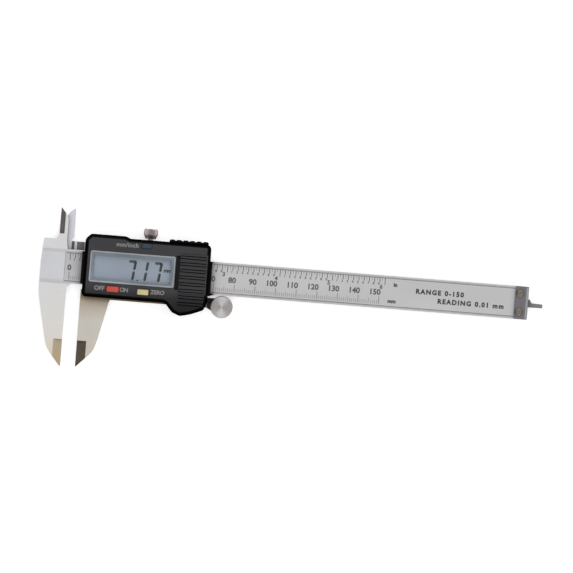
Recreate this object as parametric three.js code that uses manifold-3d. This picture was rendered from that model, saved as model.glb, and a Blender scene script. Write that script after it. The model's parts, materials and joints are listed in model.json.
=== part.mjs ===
// A 150 mm digital caliper: a steel beam with the fixed jaws, a slider with the moving jaws,
// the electronics module on the slider's front, a thumb roller, a lock screw and a depth rod.
//
// Millimetres. In the beam's own frame X runs along the beam from the fixed jaw's measuring
// face, Y points across it towards the inside jaws, and Z points out of the display. The
// slider has the same frame, moved along X by the reading, so its zero is the moving jaw's
// face. The caliper lies on the slider's back, at Z = 0.

import * as THREE from "three";
import { mergeVertices } from "three/addons/utils/BufferGeometryUtils.js";
import Module from "manifold-3d";

const wasm = await Module();
wasm.setup();

// ---------------------------------------------------------------- driving dimensions

const READING = 7.17; // the jaw opening at rest

const BACK_WALL = 1.4; // the slider's wall behind the beam
const SLIDE_GAP = 0.1; // clearance between faces that slide or are stacked
const BEAM_THICK = 3.5;
const BEAM_BACK = BACK_WALL + SLIDE_GAP;
const BEAM_FRONT = BEAM_BACK + BEAM_THICK;
const BEAM_HALF = 8; // half the beam's width
const BEAM_END = 222.8;

const JAW_TIP_Y = -48.1; // the outside jaws' tips
const BLADE_TIP_Y = 28.5; // the inside jaws' tips
const HEAD_LEFT = -13.2;
const HEAD_TOP = 13.2;
const HEAD_SHOULDER = [-12.8, BEAM_HALF - 1]; // above it the head's left edge leans in a little
const KNIFE_THICK = 0.8; // what the bevels leave at a measuring edge
const INSIDE_EDGE = -5.25; // the inside jaws' edges, from their own jaw's measuring face
const BEVEL_LENGTH = 13; // of the outside jaws' knife edges
const BEVEL_WIDTH = { fixed: 4.2, moving: 4.6 };
const BLADE_SPLIT = (BEAM_BACK + BEAM_FRONT) / 2; // the moving inside jaw passes behind the fixed

const LABEL_HALF = 7.2;
const LABEL_START = -1.5;
const STOP_START = 216.4; // the end stop plate on the beam's front
const STOP_PLATE_THICK = 1.2;
const STOP_SCREW = { x: 218.6, y: 4.5, head: 1.8, headHeight: 0.8, shank: 0.9 };
const RECESS_DEPTH = 1;
const GROOVE_START = 40; // the depth rod's groove in the beam's back
const GROOVE_HALF = 2.1;
const GROOVE_DEPTH = 1.6;

const SLIDER_LEFT = 0.7;
const SLIDER_RIGHT = 61.3;
const RAIL_TOP = 13.4;
const RAIL_BOTTOM = -14.4;
const RAIL_TOP_INNER = 8.8; // above the gib
const RAIL_BOTTOM_INNER = -BEAM_HALF - 0.15;

const COVER_BACK = BEAM_FRONT + SLIDE_GAP;
const COVER_FRONT = 14.5;
const COVER_WALL = 1;
const FACE_WALL = 1.4;
const COVER_TOP = 15.8;
const COVER_CROWN = 16.8; // the raised upper left
const COVER_BOTTOM = -13.6;
const LIP_REACH = 1.1; // how far the case's lips stand out over the beam at both ends
const LIP_SPANS = { left: [-7.4, 8.1], right: [-8.8, 7.9] };
const CAVITY_TOP = COVER_FRONT - FACE_WALL;

const BOARD_BACK = BEAM_FRONT + 0.25;
const BOARD_FRONT = BOARD_BACK + 0.95;
const ON_BOARD = BOARD_FRONT + SLIDE_GAP; // the back of whatever sits on the circuit board

const WINDOW = { left: 5.5, right: 42.8, bottom: -4.8, top: 6.9 };
const BEZEL_WIDTH = { side: 1.95, bottom: 1.5, top: 2 };
const BATTERY = { x: 53.3, y: 1, radius: 5.8, height: 5.4 };
const BATTERY_BAY = { left: 47, right: SLIDER_RIGHT, bottom: -8.6, top: 10.7 };
const BATTERY_TRAY = { x: [46, 60.6], y: [-9.8, 11.9], thick: 1.1 };
const PORT = { left: 41, right: 59.9, back: 6.2, front: 12.6, top: 17.1 };
const TONGUE = { back: 11.15, front: 11.85, depth: 0.5 };

const BUTTONS = {
  inch_mm_button: { x: 30.4, y: 12.8, width: 4.9, height: 2.1, colour: 0x314157 },
  power_button: { x: 15.5, y: -9.1, width: 5.9, height: 2.7, colour: 0xa55248 },
  zero_button: { x: 30.1, y: -9.4, width: 5.4, height: 2.6, colour: 0xb2a783 },
};
const BUTTON_TRAVEL = 0.5;
const BUTTON_PROUD = 0.6;

const GIB_SCREWS = [14, 47];
const GIB_OUTER = RAIL_TOP_INNER - 0.2;
const PAD_TOP = 9.7;
const LOCK_X = 31.6;
const LOCK_HEAD = { radius: 3.35, bottom: 17.2, top: 21.4 };
const LOCK_NECK = 1.4;
const CROSS_Z = 3.4; // the height of the screws that lie across the beam
const ROLLER = { x: 68.4, y: -13.6, radius: 5.5, back: 1.3, front: 5.3 };
const COVER_SCREWS = [
  [4.2, 11.1],
  [57.4, 11.1],
  [4.2, -10.9],
  [44.5, -10.9],
];
const ROD_SCREW_X = 56;
const ROD_FOOT = { length: 5.3, slope: 1.2, top: 0.2 };
const BRACKET_SCREW = [54, -11.4];

const CENTRE_X = (HEAD_LEFT + BEAM_END + READING) / 2;
const CENTRE_Y = (JAW_TIP_Y + BLADE_TIP_Y) / 2;

// ---------------------------------------------------------------- materials

const steel = { color: 0xc4c4c6, roughness: 0.35, metalness: 1 };
const brightSteel = { color: 0xd6d4d0, roughness: 0.25, metalness: 1 };
const brass = { color: 0xb59a55, roughness: 0.4, metalness: 1 };
const blackPlastic = { color: 0x26262a, roughness: 0.55, metalness: 0 };
const greyPlastic = { color: 0x9ea3a8, roughness: 0.5, metalness: 0 };
const boardGreen = { color: 0x1f5a3c, roughness: 0.6, metalness: 0 };
const darkRubber = { color: 0x2b2b2b, roughness: 0.8, metalness: 0 };
const labelFace = { color: 0xaeb0b3, roughness: 0.45, metalness: 0.4 };

// ---------------------------------------------------------------- solids

// A closed three.js geometry as a solid that can be joined and cut.
function solid(geometry) {
  geometry.deleteAttribute("normal");
  geometry.deleteAttribute("uv");
  const merged = mergeVertices(geometry, 1e-4);
  return new wasm.Manifold(
    new wasm.Mesh({
      numProp: 3,
      vertProperties: merged.attributes.position.array,
      triVerts: new Uint32Array(merged.index.array),
    }),
  );
}

function geometryOf(body) {
  const mesh = body.getMesh();
  const geometry = new THREE.BufferGeometry();
  geometry.setAttribute("position", new THREE.BufferAttribute(mesh.vertProperties, 3));
  geometry.setIndex(new THREE.BufferAttribute(mesh.triVerts, 1));
  geometry.computeVertexNormals();
  return geometry;
}

function join(...bodies) {
  return bodies.reduce((whole, body) => whole.add(body));
}

function cut(body, ...tools) {
  return tools.reduce((rest, tool) => rest.subtract(tool), body);
}

function block(x, y, z) {
  const geometry = new THREE.BoxGeometry(x[1] - x[0], y[1] - y[0], z[1] - z[0]);
  geometry.translate((x[0] + x[1]) / 2, (y[0] + y[1]) / 2, (z[0] + z[1]) / 2);
  return solid(geometry);
}

// A round pin along Z, from low to high.
function pin(x, y, radius, low, high, sides = 24) {
  const geometry = new THREE.CylinderGeometry(radius, radius, high - low, sides);
  geometry.rotateX(Math.PI / 2);
  geometry.translate(x, y, (low + high) / 2);
  return solid(geometry);
}

// A round pin along Y.
function crossPin(x, radius, low, high, sides = 24) {
  const geometry = new THREE.CylinderGeometry(radius, radius, high - low, sides);
  geometry.translate(x, (low + high) / 2, CROSS_Z);
  return solid(geometry);
}

// A closed outline through corners [x, y, rounding]; a rounded corner is a short curve, which
// takes at most ROUNDING_SHARE of the shorter side beside it.
const ROUNDING_SHARE = 0.45;

function outline(corners) {
  const points = corners.map(([x, y]) => new THREE.Vector2(x, y));
  const shape = new THREE.Shape();
  points.forEach((corner, index) => {
    const toBefore = points[(index + points.length - 1) % points.length].clone().sub(corner);
    const toAfter = points[(index + 1) % points.length].clone().sub(corner);
    const room = ROUNDING_SHARE * Math.min(toBefore.length(), toAfter.length());
    const rounding = Math.min(corners[index][2] ?? 0, room);
    const from = corner.clone().add(toBefore.setLength(rounding));
    const to = corner.clone().add(toAfter.setLength(rounding));
    if (index === 0) shape.moveTo(from.x, from.y);
    else shape.lineTo(from.x, from.y);
    if (rounding > 0) shape.quadraticCurveTo(corner.x, corner.y, to.x, to.y);
  });
  shape.closePath();
  return shape;
}

// The same corners (listed anticlockwise) moved inwards by a wall's thickness.
function inset(corners, wall) {
  return corners.map(([x, y, rounding = 0], index) => {
    const before = corners[(index + corners.length - 1) % corners.length];
    const after = corners[(index + 1) % corners.length];
    const arriving = new THREE.Vector2(x - before[0], y - before[1]).normalize();
    const leaving = new THREE.Vector2(after[0] - x, after[1] - y).normalize();
    const turn = arriving.cross(leaving);
    const along = wall / turn;
    return [
      x + (leaving.x - arriving.x) * along,
      y + (leaving.y - arriving.y) * along,
      Math.max(0, rounding - wall / 2),
    ];
  });
}

function plate(corners, low, high) {
  const geometry = new THREE.ExtrudeGeometry(outline(corners), {
    depth: high - low,
    bevelEnabled: false,
    curveSegments: 4,
  });
  geometry.translate(0, 0, low);
  return solid(geometry);
}

// A prism along Y whose section is given in X and Z.
function wedge(section, low, high) {
  const geometry = new THREE.ExtrudeGeometry(outline(section), {
    depth: high - low,
    bevelEnabled: false,
  });
  geometry.rotateX(Math.PI / 2);
  geometry.translate(0, high, 0);
  return solid(geometry);
}

// A screw from the back: a flat head and a shank that points along +Z.
function backScrew(x, y, head, shank, headBack, tip) {
  const headFront = headBack + head.height;
  return join(
    pin(x, y, head.radius, headBack, headFront),
    pin(x, y, shank, headFront - SLIDE_GAP, tip, 16),
  );
}

function part(group, name, body, look) {
  const mesh = new THREE.Mesh(geometryOf(body), new THREE.MeshStandardMaterial(look));
  mesh.name = name;
  group.add(mesh);
}

const caliper = new THREE.Group();
caliper.position.set(-CENTRE_X, -CENTRE_Y, 0);
const beam = new THREE.Group();
const slider = new THREE.Group();
slider.position.x = READING;
caliper.add(beam, slider);

// ---------------------------------------------------------------- beam

// Cuts a front bevel that thins an outside jaw's tip to a knife edge at its measuring face.
// side is -1 for the fixed jaw, which lies at negative X, and 1 for the moving one.
function jawBevel(side, width) {
  const edge = BEAM_BACK + KNIFE_THICK;
  const rise = (BEAM_FRONT - edge) / width;
  const over = 1;
  const section = [
    [-side * over, edge - rise * over],
    [side * (width + over), BEAM_FRONT + rise * over],
    [-side * over, BEAM_FRONT + rise * over],
  ];
  if (side < 0) section.reverse();
  return wedge(section, JAW_TIP_Y - over, JAW_TIP_Y + BEVEL_LENGTH);
}

function mainBeam() {
  const jawAndBar = plate(
    [
      [0, JAW_TIP_Y],
      [0, -10.2],
      [2, -BEAM_HALF],
      [BEAM_END, -BEAM_HALF],
      [BEAM_END, BEAM_HALF],
      [HEAD_SHOULDER[0], BEAM_HALF],
      HEAD_SHOULDER,
      [HEAD_LEFT, 1],
      [HEAD_LEFT, -13.6, 3],
      [-7.5, -39.4, 3],
      [-0.5, JAW_TIP_Y],
    ],
    BEAM_BACK,
    BEAM_FRONT,
  );
  // Above the bar only the front half goes on up, to the fixed inside blade.
  const upperHead = plate(
    [
      HEAD_SHOULDER,
      [-0.7, HEAD_SHOULDER[1]],
      [-0.7, 8.9],
      [-1.3, 12.4],
      [-1.3, 23.6],
      [-3, 26],
      [INSIDE_EDGE + 0.3, BLADE_TIP_Y - 0.1],
      [INSIDE_EDGE, BLADE_TIP_Y - 0.1],
      [INSIDE_EDGE, 15.4],
      [-6.4, HEAD_TOP],
      [-12.5, HEAD_TOP, 0.6],
    ],
    BLADE_SPLIT,
    BEAM_FRONT,
  );
  const bladeBevel = wedge(
    [
      [INSIDE_EDGE - 1, BLADE_SPLIT - 0.15],
      [INSIDE_EDGE + 3.3, BEAM_FRONT + 0.5],
      [INSIDE_EDGE - 1, BEAM_FRONT + 0.5],
    ],
    15.8,
    BLADE_TIP_Y + 1,
  );
  const labelRecess = block(
    [LABEL_START, STOP_START],
    [-LABEL_HALF, LABEL_HALF],
    [BEAM_FRONT - RECESS_DEPTH, BEAM_FRONT + 1],
  );
  const rodGroove = block(
    [GROOVE_START, BEAM_END + 1],
    [-GROOVE_HALF, GROOVE_HALF],
    [BEAM_BACK - 1, BEAM_BACK + GROOVE_DEPTH],
  );
  return cut(
    join(jawAndBar, upperHead),
    jawBevel(-1, BEVEL_WIDTH.fixed),
    bladeBevel,
    labelRecess,
    rodGroove,
    ...stopScrewPlaces().map(([x, y]) =>
      pin(x, y, STOP_SCREW.shank + 0.2, BEAM_BACK + 0.8, BEAM_FRONT + 1, 16),
    ),
  );
}

function stopScrewPlaces() {
  return [1, -1].map((side) => [STOP_SCREW.x, side * STOP_SCREW.y]);
}

function endStopPlate() {
  const edge = BEAM_HALF - 0.1;
  const body = plate(
    [
      [STOP_START + 0.1, -edge, 0.4],
      [BEAM_END, -edge, 0.4],
      [BEAM_END, edge, 0.4],
      [STOP_START + 0.1, edge, 0.4],
    ],
    BEAM_FRONT + SLIDE_GAP / 2,
    BEAM_FRONT + STOP_PLATE_THICK,
  );
  const holes = stopScrewPlaces().map(([x, y]) => pin(x, y, STOP_SCREW.shank + 0.3, 0, COVER_FRONT, 16));
  return cut(body, ...holes);
}

function stopScrew([x, y]) {
  const headBack = BEAM_FRONT + STOP_PLATE_THICK + SLIDE_GAP / 2;
  const body = join(
    pin(x, y, STOP_SCREW.head, headBack, headBack + STOP_SCREW.headHeight),
    pin(x, y, STOP_SCREW.shank, BEAM_BACK + 1.2, headBack + 0.1, 16),
  );
  const slot = block([x - 2, x + 2], [y - 0.25, y + 0.25], [headBack + 0.4, headBack + 1]);
  return cut(body, slot);
}

const stripBack = BEAM_FRONT - RECESS_DEPTH + SLIDE_GAP / 2;
const stripSpan = [LABEL_START + 0.1, STOP_START - 0.1];
const stripHalf = LABEL_HALF - 0.1;

part(beam, "main_beam", mainBeam(), steel);
part(
  beam,
  "scale_circuit_strip",
  block(stripSpan, [-stripHalf, stripHalf], [stripBack, stripBack + 0.7]),
  boardGreen,
);
part(
  beam,
  "scale_label",
  block(stripSpan, [-stripHalf, stripHalf], [stripBack + 0.75, BEAM_FRONT - 0.02]),
  labelFace,
);
part(beam, "end_stop_plate", endStopPlate(), brightSteel);
part(beam, "end_stop_screw_upper", stopScrew(stopScrewPlaces()[0]), steel);
part(beam, "end_stop_screw_lower", stopScrew(stopScrewPlaces()[1]), steel);

// ---------------------------------------------------------------- slider frame

const HEAD_RECESS = 0.9; // how deep a screw's head is sunk into the slider's back

function movingJaw() {
  const jaw = plate(
    [
      [0, -47.8],
      [0.3, -47.8],
      [8, -39.9, 2],
      [9.7, -34.6, 3],
      [13.9, -15.3, 2],
      [15.5, -12.5],
      [15.5, RAIL_BOTTOM_INNER],
      [2.2, RAIL_BOTTOM_INNER],
      [0, -10.5],
    ],
    BEAM_BACK,
    BEAM_FRONT,
  );
  return cut(jaw, jawBevel(1, BEVEL_WIDTH.moving));
}

// The moving inside jaw and its neck, which runs along the beam's upper edge behind the head.
function insideJaw() {
  const low = BEAM_HALF + 0.4;
  const neckTop = 12.5;
  const thin = plate(
    [
      [INSIDE_EDGE - 4, low],
      [SLIDER_LEFT + 2, low],
      [SLIDER_LEFT + 2, neckTop],
      [INSIDE_EDGE - 1.3, neckTop],
      [INSIDE_EDGE - 1.3, neckTop + 0.6],
      [INSIDE_EDGE, 14.6],
      [INSIDE_EDGE, BLADE_TIP_Y],
      [INSIDE_EDGE - 0.3, BLADE_TIP_Y],
      [INSIDE_EDGE - 2.6, 26.8],
      [INSIDE_EDGE - 4, 24.4],
    ],
    BEAM_BACK,
    BLADE_SPLIT - 0.15,
  );
  const bevel = wedge(
    [
      [INSIDE_EDGE + 1, BEAM_BACK - 0.5],
      [INSIDE_EDGE + 1, BEAM_BACK + 1.6],
      [INSIDE_EDGE - 3.2, BEAM_BACK - 0.5],
    ],
    16,
    BLADE_TIP_Y + 1,
  );
  const relief = block([-6.2, -4.8], [low - 1, neckTop + 0.1], [BEAM_BACK + 0.6, BEAM_FRONT]);
  return cut(thin, bevel, relief);
}

function sliderFrame() {
  const rounding = 1.5;
  const backWall = plate(
    [
      [SLIDER_LEFT, RAIL_BOTTOM, rounding],
      [SLIDER_RIGHT, RAIL_BOTTOM, rounding],
      [SLIDER_RIGHT, RAIL_TOP, rounding],
      [SLIDER_LEFT, RAIL_TOP, rounding],
    ],
    0,
    BACK_WALL,
  );
  const rails = [
    block([2.2, SLIDER_RIGHT], [RAIL_BOTTOM, RAIL_BOTTOM_INNER], [BACK_WALL / 2, BEAM_FRONT]),
    block([SLIDER_LEFT, SLIDER_RIGHT], [RAIL_TOP_INNER, RAIL_TOP], [BACK_WALL / 2, BEAM_FRONT]),
  ];
  const screwHoles = COVER_SCREWS.flatMap(([x, y]) => [
    pin(x, y, 1.25, -1, BEAM_FRONT + 1, 16),
    pin(x, y, 2, -1, HEAD_RECESS),
  ]);
  const crossHoles = [
    ...GIB_SCREWS.map((x) => crossPin(x, 1.4, BEAM_HALF, RAIL_TOP + 1, 16)),
    crossPin(LOCK_X, LOCK_NECK + 0.15, BEAM_HALF, RAIL_TOP + 1),
  ];
  const bracketSeat = cut(
    plate(inset(bracketCorners(), -0.2), -1, BRACKET_THICK + 2 * SLIDE_GAP),
    block([0, SLIDER_RIGHT], [BRACKET_TOP + 0.2, BEAM_HALF], [-2, BEAM_FRONT]),
  );
  return cut(
    join(backWall, ...rails, movingJaw(), insideJaw()),
    ...screwHoles,
    ...crossHoles,
    bracketSeat,
    pin(...BRACKET_SCREW, 1.1, -1, BEAM_FRONT - 1, 16),
    pin(ROD_SCREW_X, 0, 1.1, -1, BEAM_BACK, 16),
    pin(ROD_SCREW_X, 0, 1.8, -1, HEAD_RECESS),
  );
}

// ---------------------------------------------------------------- gib, lock and depth rod

function lockScrew() {
  const slot = block(
    [LOCK_X - LOCK_HEAD.radius - 1, LOCK_X + LOCK_HEAD.radius + 1],
    [LOCK_HEAD.top - 0.8, LOCK_HEAD.top + 1],
    [CROSS_Z - 0.4, CROSS_Z + 0.4],
  );
  const body = join(
    crossPin(LOCK_X, LOCK_HEAD.radius, LOCK_HEAD.bottom, LOCK_HEAD.top, 32),
    crossPin(LOCK_X, LOCK_NECK, PAD_TOP + SLIDE_GAP, LOCK_HEAD.bottom + 0.5, 16),
  );
  return cut(body, slot);
}

const ROD_BACK = BEAM_BACK + SLIDE_GAP;
const ROD_FRONT = BEAM_BACK + GROOVE_DEPTH - SLIDE_GAP;

// The rod's end is cut to a narrow foot, which reaches past the beam by the reading.
function depthRod() {
  const half = GROOVE_HALF - 0.15;
  const body = plate(
    [
      [ROD_SCREW_X - 3.5, -half],
      [BEAM_END, -half],
      [BEAM_END, ROD_FOOT.top - 0.2],
      [BEAM_END - ROD_FOOT.length, ROD_FOOT.top],
      [BEAM_END - ROD_FOOT.length - ROD_FOOT.slope, half],
      [ROD_SCREW_X - 3.5, half],
    ],
    ROD_BACK,
    ROD_FRONT,
  );
  return cut(body, pin(ROD_SCREW_X, 0, 1, ROD_BACK - 1, ROD_FRONT - 0.3, 16));
}

const smallHead = { radius: 1.6, height: 0.6 };

part(
  slider,
  "gib_strip",
  block([3, 58], [BEAM_HALF + 0.1, GIB_OUTER], [BEAM_BACK + 0.1, BEAM_FRONT - 0.1]),
  brass,
);
["left", "right"].forEach((side, index) => {
  const body = cut(
    crossPin(GIB_SCREWS[index], 1.2, GIB_OUTER + 0.1, RAIL_TOP - 0.4, 16),
    block(
      [GIB_SCREWS[index] - 2, GIB_SCREWS[index] + 2],
      [RAIL_TOP - 1, RAIL_TOP],
      [CROSS_Z - 0.2, CROSS_Z + 0.2],
    ),
  );
  part(slider, `gib_adjust_screw_${side}`, body, steel);
});
part(slider, "lock_pad", crossPin(LOCK_X, LOCK_NECK, GIB_OUTER + 0.2, PAD_TOP, 16), brass);
part(slider, "lock_screw", lockScrew(), steel);
part(slider, "depth_rod", depthRod(), steel);
part(
  slider,
  "depth_rod_screw",
  backScrew(ROD_SCREW_X, 0, smallHead, 0.8, 0.2, ROD_FRONT - 0.4),
  steel,
);

// ---------------------------------------------------------------- thumb roller

const BRACKET_THICK = 0.9;
const BRACKET_TOP = -9.6;

function bracketCorners() {
  return [
    [50.5, -13.6, 1],
    [60.5, -14.2, 1],
    [66, -17, 1.2],
    [71.2, -16.6, 2],
    [71.6, -11.2, 2],
    [66, BRACKET_TOP, 1],
    [50.5, BRACKET_TOP, 1],
  ];
}

function rollerBracket() {
  const sheet = plate(bracketCorners(), SLIDE_GAP, BRACKET_THICK);
  return cut(
    sheet,
    pin(ROLLER.x, ROLLER.y, 1.35, -1, 2, 16),
    pin(...BRACKET_SCREW, 1.1, -1, 2, 16),
  );
}

// A bowed leaf under the lower rail that presses the roller against the beam.
function rollerSpring() {
  const bow = new THREE.QuadraticBezierCurve(
    new THREE.Vector2(45.4, -14.9),
    new THREE.Vector2(49.5, -17.9),
    new THREE.Vector2(56, -15.1),
  );
  const middle = bow.getPoints(10);
  const half = 0.18;
  const sides = [1, -1].map((side) =>
    middle.map((point, index) => {
      const normal = bow.getTangent(index / 10).rotateAround(new THREE.Vector2(), Math.PI / 2);
      return [point.x + normal.x * half * side, point.y + normal.y * half * side];
    }),
  );
  return plate([...sides[1], ...sides[0].reverse()], BEAM_BACK + 0.3, BEAM_FRONT - 0.3);
}

part(slider, "slider_frame", sliderFrame(), brightSteel);
part(slider, "roller_bracket", rollerBracket(), brightSteel);
part(
  slider,
  "roller_bracket_screw",
  pin(...BRACKET_SCREW, 0.9, 2 * SLIDE_GAP, BEAM_FRONT - 1.5, 16),
  steel,
);
part(slider, "roller_spring", rollerSpring(), steel);
part(
  slider,
  "roller_axle",
  pin(ROLLER.x, ROLLER.y, 1.15, 2 * SLIDE_GAP, ROLLER.front - SLIDE_GAP, 16),
  steel,
);
part(
  slider,
  "thumb_roller",
  cut(
    pin(ROLLER.x, ROLLER.y, ROLLER.radius, ROLLER.back, ROLLER.front, 48),
    pin(ROLLER.x, ROLLER.y, 1.35, 0, COVER_FRONT, 24),
  ),
  brightSteel,
);

// ---------------------------------------------------------------- module cover

const COVER_CORNERS = [
  [SLIDER_LEFT, COVER_BOTTOM, 1.5],
  [40.9, COVER_BOTTOM, 1.5],
  [44.8, -18, 1.6],
  [48.6, -19.8, 1.8],
  [53.6, -18.3, 2],
  [59.6, -15.9, 1.8],
  [SLIDER_RIGHT, -12, 2],
  [SLIDER_RIGHT, COVER_TOP, 1.8],
  [22.2, COVER_TOP],
  [20, COVER_CROWN],
  [3.2, COVER_CROWN, 1.2],
  [SLIDER_LEFT, 14.2, 1.2],
];

// The case is one extrusion with a chamfered face. Only its bulge reaches back past the beam's
// front, as a skirt round the roller's spring.
function chamferedCase() {
  const chamfer = 0.7;
  const geometry = new THREE.ExtrudeGeometry(outline(COVER_CORNERS), {
    depth: COVER_FRONT - BEAM_BACK,
    bevelThickness: chamfer,
    bevelSize: chamfer,
    bevelOffset: -chamfer,
    bevelSegments: 1,
    curveSegments: 4,
  });
  geometry.translate(0, 0, BEAM_BACK - chamfer);
  const everywhere = [-10, 90];
  return cut(
    solid(geometry),
    block(everywhere, [-40, 40], [-10, BEAM_BACK]),
    block(everywhere, [RAIL_BOTTOM - 0.2, 40], [-10, COVER_BACK]),
  );
}

function frontCover() {
  const cavity = plate(inset(COVER_CORNERS, COVER_WALL), BEAM_BACK - 1, CAVITY_TOP);
  const lipTop = CAVITY_TOP - 0.4;
  const lips = [
    block([SLIDER_LEFT - LIP_REACH, SLIDER_LEFT + COVER_WALL], LIP_SPANS.left, [COVER_BACK, lipTop]),
    block([SLIDER_RIGHT - COVER_WALL, SLIDER_RIGHT + LIP_REACH], LIP_SPANS.right, [COVER_BACK, lipTop]),
  ];
  const tray = block(BATTERY_TRAY.x, BATTERY_TRAY.y, [CAVITY_TOP - BATTERY_TRAY.thick, CAVITY_TOP + 0.4]);
  const well = pin(BATTERY.x, BATTERY.y, BATTERY.radius + 0.4, 0, COVER_FRONT + 1, 32);
  const bay = block(
    [BATTERY_BAY.left - 0.1, BATTERY_BAY.right + 1],
    [BATTERY_BAY.bottom - 0.1, BATTERY_BAY.top + 0.1],
    [CAVITY_TOP, COVER_FRONT + 1],
  );
  const window = block(
    [WINDOW.left - BEZEL_WIDTH.side - 0.1, WINDOW.right + BEZEL_WIDTH.side + 0.1],
    [WINDOW.bottom - BEZEL_WIDTH.bottom - 0.1, WINDOW.top + BEZEL_WIDTH.top + 0.1],
    [CAVITY_TOP - 1, COVER_FRONT + 1],
  );
  const portHole = block([43, 55], [COVER_TOP - 2, COVER_TOP + 1], [6.6, 10.4]);
  const groove = block(
    [PORT.left - 0.1, SLIDER_RIGHT + 1],
    [COVER_TOP - TONGUE.depth - 0.1, COVER_TOP + 1],
    [TONGUE.back - 0.1, TONGUE.front + 0.1],
  );
  const buttonHoles = Object.values(BUTTONS).map((button) =>
    buttonBlock(button, 0.15, CAVITY_TOP - 1, COVER_FRONT + 1),
  );
  const shell = cut(chamferedCase(), cavity);
  const bosses = COVER_SCREWS.map(([x, y]) => pin(x, y, 2.1, COVER_BACK, CAVITY_TOP + 0.3));
  return cut(
    join(shell, tray, ...lips, ...bosses),
    ...COVER_SCREWS.map(([x, y]) => pin(x, y, 1.1, 0, 10, 16)),
    well,
    bay,
    window,
    portHole,
    groove,
    ...buttonHoles,
  );
}

function buttonBlock({ x, y, width, height }, grow, low, high) {
  return block(
    [x - width / 2 - grow, x + width / 2 + grow],
    [y - height / 2 - grow, y + height / 2 + grow],
    [low, high],
  );
}

// A cap, a flange that keeps it behind the case and a stem that reaches down to its switch.
function button(shape) {
  const flangeTop = CAVITY_TOP - SLIDE_GAP;
  const flangeGrow = 0.35;
  return join(
    buttonBlock(shape, 0, flangeTop - 0.4, COVER_FRONT + BUTTON_PROUD),
    buttonBlock(shape, flangeGrow, flangeTop - 0.7, flangeTop),
    block(
      [shape.x - 1, shape.x + 1],
      [shape.y - 0.8, shape.y + 0.8],
      [SWITCH_TOP + BUTTON_TRAVEL + 0.1, flangeTop - 0.5],
    ),
  );
}

const SWITCH_TOP = ON_BOARD + 0.6;

function batteryCover() {
  const { left, right, bottom, top } = BATTERY_BAY;
  return plate(
    [
      [left, bottom, 0.5],
      [right, bottom, 0.5],
      [right, top, 0.5],
      [left, top, 0.5],
    ],
    CAVITY_TOP + SLIDE_GAP,
    COVER_FRONT,
  );
}

function portCover() {
  const { left, right, back, front, top } = PORT;
  const bottom = COVER_TOP + SLIDE_GAP;
  const ribs = [];
  const ribPitch = 3.4;
  for (let x = left + 1.2; x < right - 1; x += ribPitch) {
    ribs.push(block([x, x + 1.6], [top - 1, top], [back, front]));
  }
  return join(
    block([left, right], [bottom, top - 0.5], [back, front]),
    block([left, right], [COVER_TOP - TONGUE.depth, bottom + 0.2], [TONGUE.back, TONGUE.front]),
    ...ribs,
  );
}

part(slider, "front_cover", frontCover(), blackPlastic);
for (const [name, shape] of Object.entries(BUTTONS)) {
  part(slider, name, button(shape), { color: shape.colour, roughness: 0.5, metalness: 0 });
}
part(slider, "battery_cover", batteryCover(), blackPlastic);
part(slider, "data_port_cover", portCover(), blackPlastic);
COVER_SCREWS.forEach(([x, y], index) => {
  part(slider, `cover_screw_${index + 1}`, backScrew(x, y, smallHead, 0.9, 0.2, 9.4), steel);
});

// ---------------------------------------------------------------- display and electronics

// The board is notched round the case's screw bosses.
function circuitBoard() {
  const board = block([2.1, 59.7], [-11.6, 12.9], [BOARD_BACK, BOARD_FRONT]);
  const reach = 2.4;
  const notches = COVER_SCREWS.map(([x, y]) =>
    block([x - reach, x + reach], [y - reach, y + reach], [0, COVER_FRONT]),
  );
  return cut(board, ...notches);
}

function lcdBezel() {
  const { left, right, bottom, top } = WINDOW;
  const outer = plate(
    [
      [left - BEZEL_WIDTH.side, bottom - BEZEL_WIDTH.bottom, 0.8],
      [right + BEZEL_WIDTH.side, bottom - BEZEL_WIDTH.bottom, 0.8],
      [right + BEZEL_WIDTH.side, top + BEZEL_WIDTH.top, 0.8],
      [left - BEZEL_WIDTH.side, top + BEZEL_WIDTH.top, 0.8],
    ],
    LCD_FRONT + SLIDE_GAP,
    COVER_FRONT - 0.1,
  );
  return cut(outer, block([left, right], [bottom, top], [0, COVER_FRONT + 1]));
}

const LCD_FRONT = 12.3;
const LCD_BACK = 10.5;
const lcdSpan = [WINDOW.left - 1.2, WINDOW.right + 1.2];
const zebraRows = { lower: [WINDOW.bottom - 1.2, WINDOW.bottom + 0.8], upper: [WINDOW.top - 0.8, 8] };

part(slider, "circuit_board", circuitBoard(), boardGreen);
part(slider, "lcd_bezel", lcdBezel(), greyPlastic);
part(
  slider,
  "lcd_window",
  block(
    [WINDOW.left + 0.1, WINDOW.right - 0.1],
    [WINDOW.bottom + 0.1, WINDOW.top - 0.1],
    [LCD_FRONT + 0.9, COVER_FRONT - 0.3],
  ),
  { color: 0xdfe6ea, roughness: 0.1, metalness: 0, transparent: true, opacity: 0.3 },
);
part(
  slider,
  "lcd_glass",
  block(lcdSpan, [WINDOW.bottom - 1.2, WINDOW.top + 1.2], [LCD_BACK, LCD_FRONT]),
  { color: 0x8f97a0, roughness: 0.3, metalness: 0 },
);
for (const [side, row] of Object.entries(zebraRows)) {
  part(slider, `zebra_strip_${side}`, block(lcdSpan, row, [ON_BOARD, LCD_BACK - 0.1]), darkRubber);
}
part(slider, "processor_chip", block([20, 27], [-2, 5], [ON_BOARD, ON_BOARD + 1.1]), darkRubber);
part(slider, "quartz_crystal", block([33, 39.5], [-1, 0.9], [ON_BOARD, ON_BOARD + 1.4]), steel);
Object.values(BUTTONS).forEach(({ x, y }, index) => {
  const body = block([x - 2, x + 2], [y - 1, y + 1], [ON_BOARD, SWITCH_TOP]);
  part(slider, `dome_switch_${index + 1}`, body, brightSteel);
});

const contactTop = ON_BOARD + 0.3;
const batteryBack = contactTop + 0.2;

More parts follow.
